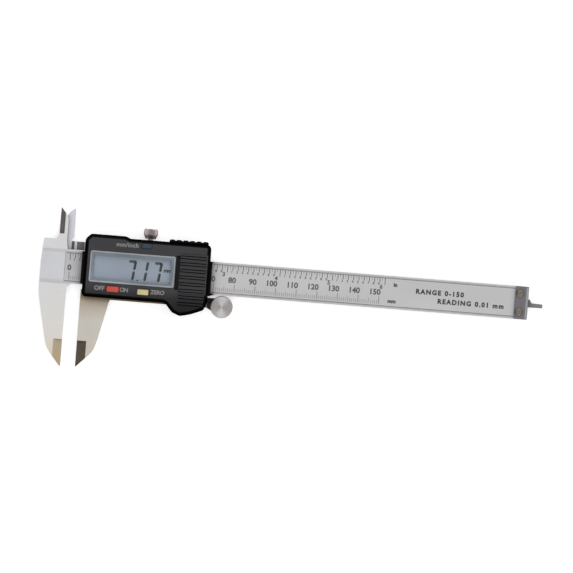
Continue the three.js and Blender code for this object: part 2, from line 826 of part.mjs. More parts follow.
part(
  slider,
  "battery_contact_negative",
  block([BATTERY.x - 3, BATTERY.x + 3], [BATTERY.y - 1.5, BATTERY.y + 1.5], [ON_BOARD, contactTop]),
  brightSteel,
);
part(
  slider,
  "coin_battery",
  pin(BATTERY.x, BATTERY.y, BATTERY.radius, batteryBack, batteryBack + BATTERY.height, 32),
  brightSteel,
);
part(
  slider,
  "battery_contact_positive",
  block([BATTERY.x - 2, BATTERY.x + 2], [-5.6, -5.2], [ON_BOARD, CAVITY_TOP - 1.5]),
  brightSteel,
);
part(
  slider,
  "data_port_connector",
  block([43.4, 54.6], [9.4, COVER_TOP - 0.2], [6.9, 10.1]),
  darkRubber,
);

export default caliper;
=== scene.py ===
import json
import math

import bmesh
import bpy
from mathutils import Matrix, Vector


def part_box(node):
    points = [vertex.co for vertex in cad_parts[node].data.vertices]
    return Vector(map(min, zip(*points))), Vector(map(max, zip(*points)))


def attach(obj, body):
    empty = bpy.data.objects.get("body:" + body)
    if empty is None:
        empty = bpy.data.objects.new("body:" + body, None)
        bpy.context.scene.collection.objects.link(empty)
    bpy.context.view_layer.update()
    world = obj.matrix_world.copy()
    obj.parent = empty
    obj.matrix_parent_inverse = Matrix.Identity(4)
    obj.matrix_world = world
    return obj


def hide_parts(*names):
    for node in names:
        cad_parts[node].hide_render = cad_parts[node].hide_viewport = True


# The digital caliper's looks. Pieces are built in millimetres, in the beam's frame or in the
# slider's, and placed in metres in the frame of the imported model.

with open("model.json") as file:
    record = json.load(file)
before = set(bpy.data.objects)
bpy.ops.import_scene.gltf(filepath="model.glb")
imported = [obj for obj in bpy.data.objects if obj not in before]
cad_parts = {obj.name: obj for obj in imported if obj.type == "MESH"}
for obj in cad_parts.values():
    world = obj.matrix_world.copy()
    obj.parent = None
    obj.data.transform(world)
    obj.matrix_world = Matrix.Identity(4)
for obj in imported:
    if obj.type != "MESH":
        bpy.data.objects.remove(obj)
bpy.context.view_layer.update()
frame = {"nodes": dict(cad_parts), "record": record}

MM = 0.001
MOUNTS = {mount["name"]: mount for mount in frame["record"]["mounts"]}


# ------------------------------------------------------------------ places from the frame

def beam_origin():
    """The fixed jaw's measuring face, on the beam's centre line, on the floor."""
    low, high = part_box("scale_label")
    return Vector((MOUNTS["fixed_jaw_face"]["pos_m"][0], (low.y + high.y) / 2, 0))


BEAM = beam_origin()
SLIDER = Vector((MOUNTS["moving_jaw_face"]["pos_m"][0], BEAM.y, 0))


def span(node, origin):
    """A CAD node's (low, high) along X, Y and Z, in millimetres from an origin."""
    low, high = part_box(node)
    return [((low[i] - origin[i]) / MM, (high[i] - origin[i]) / MM) for i in range(3)]


# ------------------------------------------------------------------ meshes

def rounded_outline(corners):
    """Points round a closed outline of corners (x, y, radius); a radius turns into an arc."""
    steps = 6
    points = []
    count = len(corners)
    for index, (x, y, radius) in enumerate(corners):
        corner = Vector((x, y))
        before = Vector(corners[index - 1][:2]) - corner
        after = Vector(corners[(index + 1) % count][:2]) - corner
        before.normalize()
        after.normalize()
        if radius <= 0:
            points.append(corner)
            continue
        half = before.angle(after) / 2
        reach = radius / math.tan(half)
        centre = corner + (before + after).normalized() * (radius / math.sin(half))
        start = corner + before * reach - centre
        turn = math.pi - 2 * half
        if before.x * after.y - before.y * after.x > 0:
            turn = -turn
        for step in range(steps + 1):
            angle = turn * step / steps
            spun = Vector((
                start.x * math.cos(angle) - start.y * math.sin(angle),
                start.x * math.sin(angle) + start.y * math.cos(angle),
            ))
            points.append(centre + spun)
    return points


def rectangle(x, y, radius=0.0):
    """Corners of a rectangle, anticlockwise."""
    return [(x[0], y[0], radius), (x[1], y[0], radius), (x[1], y[1], radius), (x[0], y[1], radius)]


def inset(points, distance):
    """The same points moved inwards; they run anticlockwise."""
    moved = []
    count = len(points)
    for index, point in enumerate(points):
        arriving = (point - points[index - 1]).normalized()
        leaving = (points[(index + 1) % count] - point).normalized()
        normal = Vector((-arriving.y - leaving.y, arriving.x + leaving.x))
        normal.normalize()
        share = max(0.3, normal.dot(Vector((-leaving.y, leaving.x))))
        moved.append(point + normal * (distance / share))
    return moved


def closed_body(rings):
    """A mesh through rings of the same number of points, with both ends closed."""
    mesh = bmesh.new()
    rows = [[mesh.verts.new(point) for point in ring] for ring in rings]
    for lower, upper in zip(rows, rows[1:]):
        count = len(lower)
        for index in range(count):
            after = (index + 1) % count
            mesh.faces.new((lower[index], lower[after], upper[after], upper[index]))
    mesh.faces.new(list(reversed(rows[0])))
    mesh.faces.new(rows[-1])
    return mesh


def stack(points, levels):
    """A closed body through one outline at several levels (height, distance moved inwards)."""
    rings = []
    for height, distance in levels:
        ring = inset(points, distance) if distance > 0 else points
        rings.append([(point.x, point.y, height) for point in ring])
    return closed_body(rings)


def flat_points(corners):
    """Corners as vectors, without their radius."""
    return [Vector(corner[:2]) for corner in corners]


def slab(points, low, high, edge=0.0, steps=4):
    """A closed plate; its upper rim is rounded by a quarter circle of radius edge."""
    levels = [(low, 0.0), (high - edge, 0.0)]
    if edge > 0:
        for step in range(1, steps + 1):
            angle = math.pi / 2 * step / steps
            levels.append((high - edge + edge * math.sin(angle), edge * (1 - math.cos(angle))))
    return stack(points, levels)


def turned(profile, segments, ripple=0.0, rippled=()):
    """A body turned round Z from (radius, height) pairs. Ripple cuts a knurl in some rows."""
    rings = []
    for row, (radius, height) in enumerate(profile):
        ring = []
        for index in range(segments):
            angle = 2 * math.pi * index / segments
            depth = ripple if row in rippled and index % 2 else 0.0
            reach = radius - depth
            ring.append((reach * math.cos(angle), reach * math.sin(angle), height))
        rings.append(ring)
    return closed_body(rings)


def brick(x, y, z):
    """A closed box, used to cut and to build up."""
    return slab(flat_points(rectangle(x, y)), *z)


def prism(section, y):
    """A closed bar along Y whose section is given in X and Z."""
    return closed_body([[(x, place, z) for x, z in section] for place in y])


def merged(*meshes):
    """Several closed meshes as one."""
    whole = bmesh.new()
    for mesh in meshes:
        data = bpy.data.meshes.new("merging")
        mesh.to_mesh(data)
        mesh.free()
        whole.from_mesh(data)
        bpy.data.meshes.remove(data)
    return whole


def as_object(name, mesh):
    """Turns a mesh under construction into an object of the scene."""
    data = bpy.data.meshes.new(name)
    bmesh.ops.recalc_face_normals(mesh, faces=mesh.faces)
    mesh.to_mesh(data)
    mesh.free()
    made = bpy.data.objects.new(name, data)
    bpy.context.scene.collection.objects.link(made)
    return made


def settle(made):
    """Applies an object's modifiers to its mesh."""
    bpy.context.view_layer.update()
    graph = bpy.context.evaluated_depsgraph_get()
    data = bpy.data.meshes.new_from_object(made.evaluated_get(graph))
    old = made.data
    made.modifiers.clear()
    made.data = data
    bpy.data.meshes.remove(old)
    data.name = made.name


def carve(made, operation, *tools):
    """Joins tools to an object or cuts them from it, one after another."""
    for tool in tools:
        cutter = as_object("cutter", tool)
        boolean = made.modifiers.new("boolean", "BOOLEAN")
        boolean.object = cutter
        boolean.operation = operation
        boolean.solver = "EXACT"
        settle(made)
        bpy.data.objects.remove(cutter)


def soften(made, width, segments=2, angle=40):
    """Rounds the edges that are sharper than an angle, width in the object's own unit."""
    bevel = made.modifiers.new("bevel", "BEVEL")
    bevel.width = width
    bevel.segments = segments
    bevel.limit_method = "ANGLE"
    bevel.angle_limit = math.radians(angle)
    bevel.miter_outer = "MITER_ARC"


def finish_piece(made, origin, body, material, replaced=(), smooth=35, turn=None):
    """Turns a piece, scales it from millimetres, puts it in place and hands it to the frame."""
    settle(made)
    spin = turn.to_4x4() if turn else Matrix.Identity(4)
    made.data.transform(Matrix.Translation(origin) @ Matrix.Scale(MM, 4) @ spin)
    made.data.polygons.foreach_set("use_smooth", [True] * len(made.data.polygons))
    made.data.set_sharp_from_angle(angle=math.radians(smooth))
    made.data.materials.clear()
    made.data.materials.append(material)
    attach(made, body)
    if replaced:
        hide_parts(*replaced)


# ------------------------------------------------------------------ materials

def shader(name, colour, roughness, metallic=0.0):
    """A material with its Principled shader's constants set."""
    material = bpy.data.materials.new(name)
    material.use_nodes = True
    surface = material.node_tree.nodes["Principled BSDF"]
    surface.inputs["Base Color"].default_value = (*colour, 1)
    surface.inputs["Roughness"].default_value = roughness
    surface.inputs["Metallic"].default_value = metallic
    return material, material.node_tree, surface


def grain(tree, scale, detail):
    """Noise over the object's own coordinates, scale in features per metre along X, Y, Z."""
    place = tree.nodes.new("ShaderNodeTexCoord")
    stretch = tree.nodes.new("ShaderNodeMapping")
    stretch.inputs["Scale"].default_value = scale
    noise = tree.nodes.new("ShaderNodeTexNoise")
    noise.inputs["Scale"].default_value = 1.0
    noise.inputs["Detail"].default_value = detail
    tree.links.new(place.outputs["Object"], stretch.inputs["Vector"])
    tree.links.new(stretch.outputs["Vector"], noise.inputs["Vector"])
    return noise.outputs["Fac"]


def ramp(tree, source, stops):
    """Turns a value into colours at the given stops (position, colour)."""
    node = tree.nodes.new("ShaderNodeValToRGB")
    elements = node.color_ramp.elements
    for index, (position, colour) in enumerate(stops):
        element = elements[index] if index < 2 else elements.new(position)
        element.position = position
        element.color = (*colour, 1)
    tree.links.new(source, node.inputs["Fac"])
    return node.outputs["Color"]


def spread(tree, source, low, high, start=0.0, end=1.0):
    """Maps a value that runs from start to end to the range from low to high."""
    node = tree.nodes.new("ShaderNodeMapRange")
    node.inputs["From Min"].default_value = start
    node.inputs["From Max"].default_value = end
    node.inputs["To Min"].default_value = low
    node.inputs["To Max"].default_value = high
    tree.links.new(source, node.inputs["Value"])
    return node.outputs["Result"]


def axis_share(tree, vector, axis, start, end):
    """How far along an axis a vector's coordinate lies from start to end, as 0 to 1."""
    split = tree.nodes.new("ShaderNodeSeparateXYZ")
    tree.links.new(vector, split.inputs["Vector"])
    return spread(tree, split.outputs[axis], 0.0, 1.0, start, end)


def emboss(tree, surface, source, strength, depth):
    """Bumps a surface by a value; depth is in metres."""
    bump = tree.nodes.new("ShaderNodeBump")
    bump.inputs["Strength"].default_value = strength
    bump.inputs["Distance"].default_value = depth
    tree.links.new(source, bump.inputs["Height"])
    tree.links.new(bump.outputs["Normal"], surface.inputs["Normal"])


def multiply(tree, first, second):
    """Two colours multiplied."""
    node = tree.nodes.new("ShaderNodeVectorMath")
    node.operation = "MULTIPLY"
    tree.links.new(first, node.inputs[0])
    tree.links.new(second, node.inputs[1])
    return node.outputs["Vector"]


def grime(tree, colour, tint, reach):
    """Paints shade into a colour: darkens it towards a tint where other surfaces stand within reach
    metres.
    """
    occlusion = tree.nodes.new("ShaderNodeAmbientOcclusion")
    occlusion.inputs["Distance"].default_value = reach
    occlusion.samples = 8
    shade = ramp(tree, occlusion.outputs["AO"], [(0.25, tint), (0.95, (1, 1, 1))])
    return multiply(tree, colour, shade)


def banded(tree, colour, stops):
    """Paints light and shade into a colour across the beam; stops are (millimetres from its centre line,
    tint).
    """
    low, high = -50.0, 30.0
    place = tree.nodes.new("ShaderNodeTexCoord").outputs["Object"]
    across = axis_share(tree, place, "Y", BEAM.y + low * MM, BEAM.y + high * MM)
    places = [((y - low) / (high - low), tint) for y, tint in stops]
    return multiply(tree, colour, ramp(tree, across, places))


def tinted(colour, share):
    """A colour made lighter or darker."""
    return tuple(channel * share for channel in colour)


def evenly(value):
    """One value three times: a neutral colour, or a scale along X, Y and Z."""
    return (value, value, value)


def mottled(tree, colour, pattern, low, high):
    """A colour that a pattern takes from its low share to its high share."""
    stops = [(0.3, tinted(colour, low)), (0.7, tinted(colour, high))]
    return ramp(tree, pattern, stops)


def ground_steel(name, colour, along, roughness, painted_light=()):
    """Ground stainless steel: fine lines along one axis, soft clouding, painted shade near other parts,
    and painted light bands across the beam when given.
    """
    material, tree, surface = shader(name, colour, roughness, 1.0)
    fine, long = 5200, 60
    lines = grain(tree, {"x": (long, fine, fine), "y": (fine, long, fine)}[along], 4)
    clouds = grain(tree, evenly(55), 2)
    mix = tree.nodes.new("ShaderNodeMix")
    mix.data_type = "FLOAT"
    mix.inputs["Factor"].default_value = 0.45
    tree.links.new(lines, mix.inputs["A"])
    tree.links.new(clouds, mix.inputs["B"])
    base = mottled(tree, colour, mix.outputs["Result"], 0.9, 1.06)
    # Painted light and shade bands across the beam, when given.
    if painted_light:
        base = banded(tree, base, painted_light)
    # Painted shade: the steel darkens to a warm brown within 6 mm of other parts, as next to the module.
    tree.links.new(grime(tree, base, (0.35, 0.31, 0.26), 6 * MM), surface.inputs["Base Color"])
    tree.links.new(spread(tree, lines, roughness - 0.06, roughness + 0.12), surface.inputs["Roughness"])
    emboss(tree, surface, lines, 0.25, 0.04 * MM)
    return material


def turned_steel(name, colour, roughness):
    """Steel turned on a lathe: its highlight fans out from the axis."""
    material, tree, surface = shader(name, colour, roughness, 1.0)
    surface.inputs["Anisotropic"].default_value = 0.93
    surface.inputs["Anisotropic Rotation"].default_value = 0.25
    tangent = tree.nodes.new("ShaderNodeTangent")
    tangent.direction_type = "RADIAL"
    tangent.axis = "Z"
    tree.links.new(tangent.outputs["Tangent"], surface.inputs["Tangent"])
    clouds = grain(tree, evenly(900), 3)
    tree.links.new(mottled(tree, colour, clouds, 0.86, 1.0), surface.inputs["Base Color"])
    return material


def plain_metal(name, colour, roughness, scale=1500):
    """Metal for small pieces: a faint speckle in colour and roughness."""
    material, tree, surface = shader(name, colour, roughness, 1.0)
    speckle = grain(tree, evenly(scale), 3)
    tree.links.new(mottled(tree, colour, speckle, 0.8, 1.1), surface.inputs["Base Color"])
    tree.links.new(spread(tree, speckle, roughness - 0.08, roughness + 0.12), surface.inputs["Roughness"])
    return material


def moulded(name, colour, roughness, texture):
    """Moulded plastic or rubber: a fine grain of strength texture, and a little colour variation."""
    material, tree, surface = shader(name, colour, roughness)
    fine = grain(tree, evenly(4200), 2)
    broad = grain(tree, evenly(90), 3)
    tree.links.new(mottled(tree, colour, broad, 0.82, 1.18), surface.inputs["Base Color"])
    tree.links.new(spread(tree, fine, roughness - 0.07, roughness + 0.1), surface.inputs["Roughness"])
    emboss(tree, surface, fine, texture, 0.03 * MM)
    return material


def case_plastic(name, colour, roughness, gloss):
    """Black plastic with a satin front and painted shade: its sides, the rim below the face, its hollows
    and the lower bulge are painted darker and less glossy.
    """
    material = moulded(name, colour, roughness, 0.4)
    tree = material.node_tree
    surface = tree.nodes["Principled BSDF"]
    normal = tree.nodes.new("ShaderNodeNewGeometry").outputs["True Normal"]
    # Painted shade: faces turned away from the front are painted near black.
    side_shade = ramp(tree, axis_share(tree, normal, "Z", 0.0, 1.0), [(0.8, evenly(0.06)), (0.97, evenly(1))])
    place = tree.nodes.new("ShaderNodeTexCoord").outputs["Object"]
    _, face = span("front_cover", SLIDER)[2]
    # Painted shade: the rim is painted darker the further it falls below the face.
    darkest = face - 1.3
    brightest = face - 0.4
    raised = axis_share(tree, place, "Z", darkest * MM, brightest * MM)
    front = ramp(tree, raised, [(0.0, evenly(0.12)), (1.0, evenly(1))])
    # Painted shade where the case bulges down, and in the grooves and between the ribs.
    side_and_bulge_shade = banded(tree, multiply(tree, side_shade, front), BULGE_PAINTED_SHADE)
    painted_shade = grime(tree, side_and_bulge_shade, evenly(0.3), 1.5 * MM)
    base = surface.inputs["Base Color"].links[0].from_socket
    tree.links.new(multiply(tree, base, painted_shade), surface.inputs["Base Color"])
    # The gloss is lowered with the same painted shade.
    tree.links.new(spread(tree, painted_shade, 0.0, gloss), surface.inputs["Specular IOR Level"])
    return material


def silver_film(name, colour):
    """The printed label: satin silver film with a fine grain, with painted shade against the module."""
    material, tree, surface = shader(name, colour, 0.42, 0.35)
    fine = grain(tree, evenly(3000), 2)
    broad = grain(tree, (25, 60, 60), 2)
    base = ramp(tree, broad, [(0.25, tinted(colour, 0.94)), (0.75, tinted(colour, 1.04))])
    # Painted shade: the label darkens within 3 mm of other parts, as beside the module.
    tree.links.new(grime(tree, base, (0.5, 0.48, 0.45), 3 * MM), surface.inputs["Base Color"])
    tree.links.new(spread(tree, fine, 0.36, 0.5), surface.inputs["Roughness"])
    return material


def lcd_face(name, colour):
    """The display's polariser: grey-blue, with broad and faint variation."""
    material, tree, surface = shader(name, colour, 0.35)
    broad = grain(tree, evenly(40), 1)
    tree.links.new(mottled(tree, colour, broad, 0.96, 1.05), surface.inputs["Base Color"])
    return material


def ink(name, colour):
    """Screen-printed ink, slightly uneven."""
    material, tree, surface = shader(name, colour, 0.6)
    uneven = grain(tree, evenly(2500), 2)
    tree.links.new(mottled(tree, colour, uneven, 0.85, 1.2), surface.inputs["Base Color"])
    return material


def clear_window(name):
    """The display's clear window: thin and mostly see-through, with a glossy face."""
    material, tree, surface = shader(name, (0.35, 0.37, 0.4), 0.06)
    surface.inputs["Alpha"].default_value = 0.05
    surface.inputs["IOR"].default_value = 1.49
    fine = grain(tree, evenly(400), 1)
    tree.links.new(spread(tree, fine, 0.04, 0.1), surface.inputs["Roughness"])
    return material


# Painted light and shade across the beam, as (millimetres from its centre line, tint). The jaws carry a
# painted warm reflection towards their tips, the edges of the beam's front carry painted shade lines, the
# moving jaw carries painted brown shade under the module's lower edge, and the case is painted darker
# where it bulges down.
HEAD_PAINTED_LIGHT = [
    (-46, (1.0, 0.88, 0.68)),
    (-32, (1.0, 0.97, 0.90)),
    (-8.6, (0.98, 0.98, 0.955)),
    (-8, (0.74, 0.74, 0.74)),
    (-7, (0.78, 0.78, 0.79)),
    (-6, (0.88, 0.89, 0.90)),
    (6.4, (0.88, 0.89, 0.90)),
    (7.2, (0.78, 0.79, 0.80)),
    (8, (0.75, 0.76, 0.77)),
    (8.6, (0.97, 0.97, 0.97)),
]
# Painted shade and reflection on the slider: brown under the module's lower edge on the moving jaw,
# lighter and bluer up the inside jaw.
SLIDER_PAINTED_LIGHT = [
    (-46, (0.78, 0.72, 0.60)),
    (-25, (0.78, 0.74, 0.66)),
    (-16, (0.62, 0.54, 0.42)),
    (-13.5, (0.32, 0.26, 0.16)),
    (9, (0.75, 0.75, 0.77)),
    (14, (0.91, 0.92, 0.97)),
]
# Painted shade on the case's lower bulge.
BULGE_PAINTED_SHADE = [
    (-17, (0.35, 0.35, 0.34)),
    (-12, (0.55, 0.55, 0.54)),
    (-8, (1, 1, 1)),
]

HEAD_STEEL = ground_steel("head steel", (0.74, 0.74, 0.75), "x", 0.3, HEAD_PAINTED_LIGHT)
SLIDER_STEEL = ground_steel("slider steel", (0.78, 0.78, 0.78), "y", 0.3, SLIDER_PAINTED_LIGHT)
END_STEEL = ground_steel("end plate steel", (0.19, 0.185, 0.195), "y", 0.35)
FLANGE_STEEL = ground_steel("flange steel", (0.36, 0.355, 0.36), "y", 0.35)
ROD_STEEL = ground_steel("rod steel", (0.24, 0.24, 0.25), "x", 0.4)
# A near-black steel, used on the roller bracket.
NEAR_BLACK_STEEL = ground_steel("near-black steel", (0.075, 0.072, 0.07), "y", 0.4)
SCREW = plain_metal("screw steel", (0.21, 0.19, 0.155), 0.34)
LOCK_STEEL = plain_metal("lock screw steel", (0.57, 0.54, 0.53), 0.34, 900)
ROLLER = turned_steel("turned steel", (0.58, 0.57, 0.565), 0.45)
BRASS = plain_metal("brass", (0.66, 0.50, 0.22), 0.35)
FILM = silver_film("silver film", (0.60, 0.60, 0.615))
BLACK = case_plastic("black plastic", (0.017, 0.017, 0.0215), 0.5, 0.6)
GREY = moulded("grey plastic", (0.20, 0.235, 0.28), 0.42, 0.2)
PALE = moulded("pale border", (0.35, 0.38, 0.415), 0.42, 0.2)
WINDOW = clear_window("clear window")
LCD = lcd_face("lcd face", (0.335, 0.405, 0.50))
SEGMENT = ink("lcd segments", (0.010, 0.015, 0.022))
FAINT = ink("faint lcd segments", (0.045, 0.06, 0.08))
BOARD = moulded("solder mask", (0.02, 0.11, 0.05), 0.4, 0.2)
RUBBER = moulded("rubber", (0.02, 0.02, 0.02), 0.75, 0.6)
BLUE = moulded("blue button", (0.014, 0.04, 0.09), 0.45, 0.3)
RED = moulded("red button", (0.55, 0.062, 0.044), 0.45, 0.3)
CREAM = moulded("cream button", (0.70, 0.60, 0.32), 0.45, 0.3)
DARK_INK = ink("label ink", (0.03, 0.03, 0.035))
SCALE_INK = ink("scale ink", (0.09, 0.09, 0.095))
FINE_INK = ink("fine scale ink", (0.20, 0.20, 0.21))
WHITE_INK = ink("legend ink", (0.26, 0.26, 0.27))


# ------------------------------------------------------------------ camera, floor and light

def camera():
    """Looks straight down at the display side, turned so that the beam slopes to the right."""
    distance = 3.0
    seen_width = 0.2765
    beam_slope = math.radians(4.56)
    _, front = span("main_beam", BEAM)[2]
    along_beam = 106.0
    across_beam = -1.15
    aim = BEAM + Vector((along_beam, across_beam, front)) * MM
    data = bpy.data.cameras.new("camera")
    data.lens = data.sensor_width * distance / seen_width
    data.clip_start = 0.01
    eye = bpy.data.objects.new("camera", data)
    eye.location = aim + Vector((0, 0, distance))
    eye.rotation_euler = (0, 0, beam_slope)
    bpy.context.scene.collection.objects.link(eye)
    bpy.context.scene.camera = eye


def floor():
    """A pale floor just below the caliper; its faint glow keeps the shadows weak."""
    half = 3.0
    mesh = bmesh.new()
    mesh.faces.new([mesh.verts.new((x, y, 0)) for x, y, _ in rectangle((-half, half), (-half, half))])
    made = as_object("floor", mesh)
    made.location.z = -0.1 * MM
    material, _, surface = shader("floor paint", (0.96, 0.97, 1.0), 0.8)
    surface.inputs["Emission Color"].default_value = (1, 1, 1, 1)
    surface.inputs["Emission Strength"].default_value = 0.5
    made.data.materials.append(material)


def soft_box(name, place, size, power):
    """A rectangular lamp that faces the caliper."""
    data = bpy.data.lights.new(name, "AREA")
    data.shape = "RECTANGLE"
    data.size, data.size_y = size
    data.energy = power
    lamp = bpy.data.objects.new(name, data)
    lamp.location = place
    lamp.rotation_euler = (-Vector(place)).to_track_quat("-Z", "Y").to_euler()
    bpy.context.scene.collection.objects.link(lamp)


def room():
    """The room's light by direction: bright overhead, dim low down, dark left and warm right."""
    world = bpy.data.worlds.new("studio")
    world.use_nodes = True
    tree = world.node_tree
    direction = tree.nodes.new("ShaderNodeTexCoord").outputs["Generated"]
    overhead = ramp(tree, axis_share(tree, direction, "Z", 0.0, 1.0), [
        (0.0, (0.16, 0.16, 0.17)),
        (0.45, (0.62, 0.62, 0.63)),
        (0.75, (0.84, 0.84, 0.86)),
        (1.0, (0.95, 0.95, 0.97)),
    ])
    walls = ramp(tree, axis_share(tree, direction, "X", -1.0, 1.0), [
        (0.17, (0.15, 0.12, 0.09)),
        (0.34, (1, 1, 1)),
        (0.66, (1, 1, 1)),
        (0.86, (1.0, 0.88, 0.68)),
    ])
    background = tree.nodes["Background"]
    tree.links.new(multiply(tree, overhead, walls), background.inputs["Color"])
    bpy.context.scene.world = world


def studio():
    """The room with two weak soft boxes, on the inside jaws' side and on the outside jaws' side."""
    room()
    bpy.context.scene.view_settings.view_transform = "Standard"
    height = 1.05
    for name, side in (("far box", 1.25), ("near box", -1.25)):
        soft_box(name, (0.0, side, height), (1.6, 1.2), 5)


# ------------------------------------------------------------------ steel parts from the frame

def refine(node, material, width):
    """Gives a CAD node its material and rounded edges, width in millimetres."""
    made = frame["nodes"][node]
    made.data.materials.clear()
    made.data.materials.append(material)
    if width:
        weld = made.modifiers.new("weld", "WELD")
        weld.merge_threshold = 1e-6
        flatten = made.modifiers.new("flatten", "DECIMATE")
        flatten.decimate_type = "DISSOLVE"
        flatten.angle_limit = math.radians(1)
        soften(made, width * MM, 2, 25)
        normals = made.modifiers.new("normals", "WEIGHTED_NORMAL")
        normals.keep_sharp = True


def frame_parts():
    """The CAD nodes whose shape is kept."""
    for node, material, width in (
        ("main_beam", HEAD_STEEL, 0.2),
        ("slider_frame", SLIDER_STEEL, 0.2),
        ("depth_rod", ROD_STEEL, 0.15),
        ("end_stop_plate", END_STEEL, 0.2),
        ("roller_bracket", NEAR_BLACK_STEEL, 0.1),
        ("scale_circuit_strip", BOARD, 0),
        ("scale_label", FILM, 0),
        ("lcd_glass", LCD, 0.1),
        ("lcd_window", WINDOW, 0.1),
        ("gib_strip", BRASS, 0.05),
        ("lock_pad", BRASS, 0.1),
        ("gib_adjust_screw_left", SCREW, 0.1),
        ("gib_adjust_screw_right", SCREW, 0.1),
        ("depth_rod_screw", SCREW, 0.1),
        ("data_port_connector", RUBBER, 0.1),
        ("circuit_board", BOARD, 0),
        ("zebra_strip_lower", RUBBER, 0.1),
        ("zebra_strip_upper", RUBBER, 0.1),
        ("processor_chip", RUBBER, 0.1),
        ("quartz_crystal", SCREW, 0.2),
        ("coin_battery", FLANGE_STEEL, 0.3),
        ("battery_contact_negative", BRASS, 0.05),
        ("battery_contact_positive", BRASS, 0.05),
        ("roller_bracket_screw", SCREW, 0.1),
        ("roller_axle", SCREW, 0.1),
        ("roller_spring", SCREW, 0),
    ):
        refine(node, material, width)
    for index in range(4):
        refine(f"cover_screw_{index + 1}", SCREW, 0.1)
    for index in range(3):
        refine(f"dome_switch_{index + 1}", SCREW, 0.1)


# ------------------------------------------------------------------ the module's case

CASE = span("front_cover", SLIDER)
CASE_FRONT = CASE[2][1]
DOOR = span("battery_cover", SLIDER)
PORT = span("data_port_cover", SLIDER)
FIT = 0.1  # clearance round a door or a window
FACE_WALL = 1.4
RIB_PITCH = 3.2
RIB_WIDTH = 1.7
FIRST_RIB = 1.5  # from the door's lower edge to its first rib's middle
LIP = 1.1  # how far the lips stand out over the beam
LOWER_EDGE = -13.6
UPPER_EDGE = 15.8
RIM = [(2.2, 0.0), (0.3, 1.45), (0.0, 1.7)]  # (depth below the face, distance inwards)
TONGUE = (11.15, 11.85)  # the part of the port door that slides in the case
BEYOND = 1.0  # how far a cutter reaches past what it cuts


def case_outline():
    """The case from the front: a raised upper left, and a bulge that leads the thumb down."""
    (left, right), (bottom, top), _ = CASE
    left, right = left + LIP, right - LIP
    return rounded_outline([
        (left, LOWER_EDGE, 2.0),
        (40.9, LOWER_EDGE, 3.0),
        (44.8, -18.0, 2.2),
        (48.6, bottom, 3.0),
        (53.6, -18.3, 5.0),
        (59.6, -15.9, 2.2),
        (right, -12.0, 3.0),
        (right, UPPER_EDGE, 2.2),
        (22.2, UPPER_EDGE, 1.0),
        (20.0, top, 2.0),
        (left + 2.5, top, 2.4),
        (left, top - 2.6, 2.4),
    ])


def rib(x, y, front):
    """A raised bar across the case with sloping sides."""
    half = RIB_WIDTH / 2
    root = -0.5
    lift = 0.55
    slope = 0.45
    section = [
        (-half, root),
        (half, root),
        (half, 0.0),
        (half - slope, lift),
        (slope - half, lift),
        (-half, 0.0),
    ]
    return closed_body([[(place, y + across, front + up) for across, up in section] for place in x])


def grown(limits, distance):
    """A (low, high) pair with both ends moved outwards."""
    low, high = limits
    return (low - distance, high + distance)


def window_outline(grow):
    """The display opening in the case, or the bezel's outline in it."""
    x, y, _ = span("lcd_bezel", SLIDER)
    return rounded_outline(rectangle(grown(x, grow), grown(y, grow), 1.0))


def button_outline(node, grow):
    """A button's cap from the front, grown on all sides; its CAD flange is wider than the cap."""
    x, y, _ = span(node, SLIDER)
    return rounded_outline(rectangle(grown(x, grow - BUTTON_FLANGE), grown(y, grow - BUTTON_FLANGE), 0.5))


def case_lips():
    """The lips at the case's two ends, over the beam; the right one has a small spike below."""
    left, right = CASE[0]
    back, front = 5.1, 12.7
    reach = LIP + 0.6
    foot = -8.8
    spike = [
        (right - 1, foot),
        (right + 1.9, foot + 0.7),
        (right - 0.3, foot + 1.6),
        (right - 1, foot + 1.6),
    ]
    return [
        brick((left, left + reach), (-7.4, 8.1), (back, front)),
        brick((right - reach, right), (foot, 7.9), (back, front)),
        slab(flat_points(spike), back + 0.4, back + 2.6),
    ]


def middle_of(spans):
    """The middle of a node in X and Y."""
    (left, right), (bottom, top), _ = spans
    return (left + right) / 2, (bottom + top) / 2


def door_opening(face_back):
    """A cutter for the bay that the battery door slides out of, to the right."""
    (left, right), y, _ = DOOR
    past_right = right + 5
    return brick((left - FIT, past_right), grown(y, FIT), (face_back, CASE_FRONT + BEYOND))


def battery_tray(face_back):
    """The floor of the battery bay, with the round well of the cell."""
    x, y = (46, 60.6), (-9.8, 11.9)
    thick = 1.1
    rim = 0.3
    well_depth = 2
    tray = as_object("tray", brick(x, y, (face_back - thick, face_back + rim)))
    cell = span("coin_battery", SLIDER)
    radius = (cell[0][1] - cell[0][0]) / 2 + 0.4
    well = turned([(radius, -well_depth), (radius, well_depth)], 48)
    bmesh.ops.translate(well, verts=well.verts, vec=(*middle_of(cell), face_back))
    carve(tray, "DIFFERENCE", well, door_opening(face_back))
    mesh = bmesh.new()
    mesh.from_mesh(tray.data)
    bpy.data.objects.remove(tray)
    return mesh


